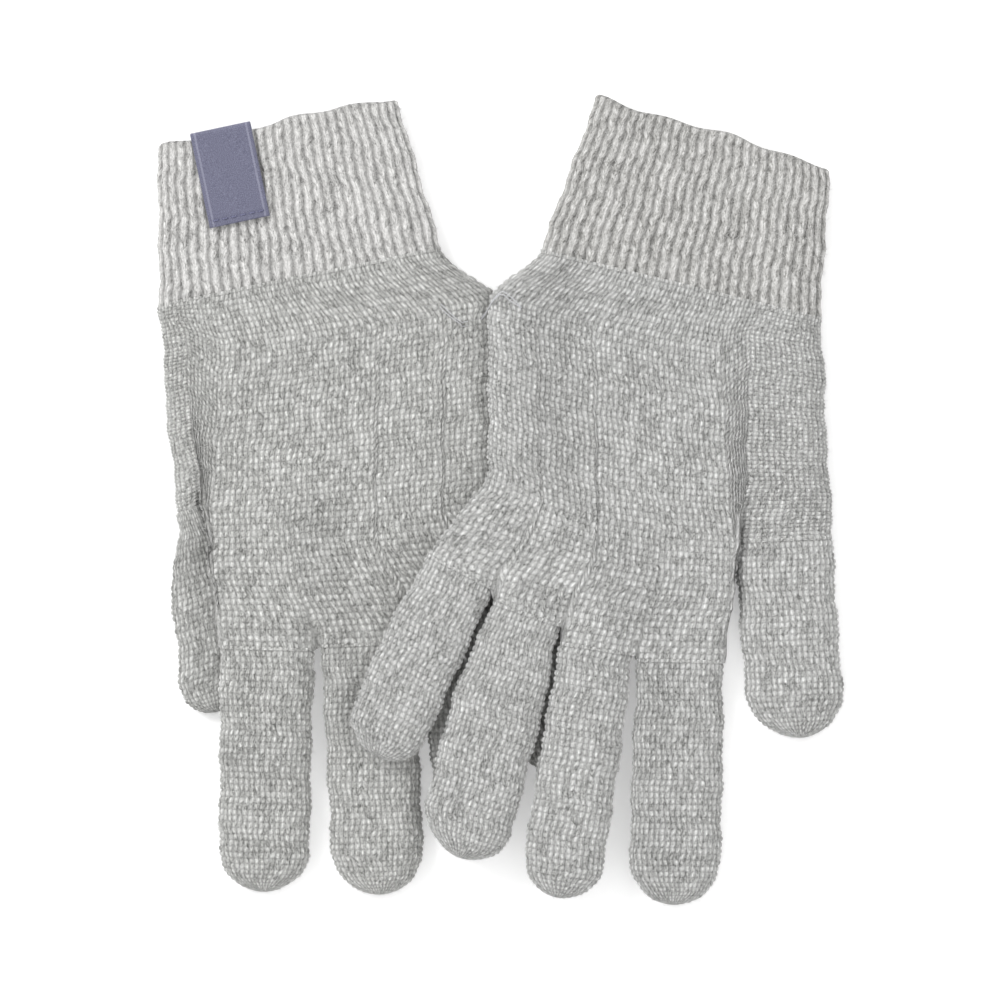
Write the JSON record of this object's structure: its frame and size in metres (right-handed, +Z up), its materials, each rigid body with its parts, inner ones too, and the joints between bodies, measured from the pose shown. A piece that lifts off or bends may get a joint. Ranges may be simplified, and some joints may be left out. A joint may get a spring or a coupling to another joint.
{
  "type": "pair of knitted gloves",
  "caption": "Pair of light heather grey machine-knit gloves with ribbed cuffs and a woven cuff label, laid flat, one glove lapping over the other.",
  "frame": {"origin": "middle of the pair's footprint, on the surface it lies on", "axes": "+Z up, +Y towards the cuffs, fingers towards -Y, the upper glove on the +X side"},
  "size_m": [0.2129, 0.2501, 0.0193],
  "materials": {
    "plain_knit": "matte, heathered, lightly fuzzy",
    "ribbed_knit": "matte, heathered, ribbed",
    "label_weave": "satin weave",
    "label_thread": "satin",
    "pairing_thread": "satin"
  },
  "bodies": {
    "lower_glove": {"lower_cuff": "ribbed_knit", "lower_hand": "plain_knit", "lower_middle": "plain_knit", "lower_ring": "plain_knit", "lower_little": "plain_knit", "woven_label": "label_weave", "label_stitches": "label_thread", "pairing_thread_lower": "pairing_thread"},
    "lower_thumb_digit": {"lower_thumb": "plain_knit"},
    "lower_index_digit": {"lower_index": "plain_knit"},
    "upper_glove": {"upper_cuff": "ribbed_knit", "upper_hand": "plain_knit", "pairing_thread_upper": "pairing_thread"},
    "upper_thumb_digit": {"upper_thumb": "plain_knit"},
    "upper_index_digit": {"upper_index": "plain_knit"},
    "upper_middle_digit": {"upper_middle": "plain_knit"},
    "upper_ring_digit": {"upper_ring": "plain_knit"},
    "upper_little_digit": {"upper_little": "plain_knit"}
  },
  "joints": [
    {"name": "pair_swing", "type": "hinge", "parent": "lower_glove", "child": "upper_glove", "pos_m": [-0.0061, 0.06, 0.0139], "axis": [0, 0, 1], "range_deg": [0, 25]},
    {"name": "lower_thumb_swing", "type": "hinge", "parent": "lower_glove", "child": "lower_thumb_digit", "pos_m": [-0.10066, -0.00588, 0.0032], "axis": [0, 0, -1], "range_deg": [0, 35]},
    {"name": "lower_index_bend", "type": "hinge", "parent": "lower_glove", "child": "lower_index_digit", "pos_m": [-0.0721, -0.0468, 0.01723], "axis": [-0.9952, 0.0261, 0.0948], "range_deg": [0, 80]},
    {"name": "upper_thumb_bend", "type": "hinge", "parent": "upper_glove", "child": "upper_thumb_digit", "pos_m": [0.0874, -0.0133, 0.0091], "axis": [-0.999, -0.0436, 0], "range_deg": [0, 80]},
    {"name": "upper_index_bend", "type": "hinge", "parent": "upper_glove", "child": "upper_index_digit", "pos_m": [0.0552, -0.0508, 0.01182], "axis": [-0.9807, 0.0257, 0.1936], "range_deg": [0, 85]},
    {"name": "upper_middle_bend", "type": "hinge", "parent": "upper_glove", "child": "upper_middle_digit", "pos_m": [0.02916, -0.04691, 0.01864], "axis": [-0.976, 0.1546, 0.1536], "range_deg": [0, 85]},
    {"name": "upper_ring_bend", "type": "hinge", "parent": "upper_glove", "child": "upper_ring_digit", "pos_m": [0.00744, -0.03632, 0.0185], "axis": [-0.9483, 0.3173, 0], "range_deg": [0, 85]},
    {"name": "upper_little_bend", "type": "hinge", "parent": "upper_glove", "child": "upper_little_digit", "pos_m": [-0.01268, -0.02325, 0.0185], "axis": [-0.8829, 0.4695, 0], "range_deg": [0, 60]}
  ]
}
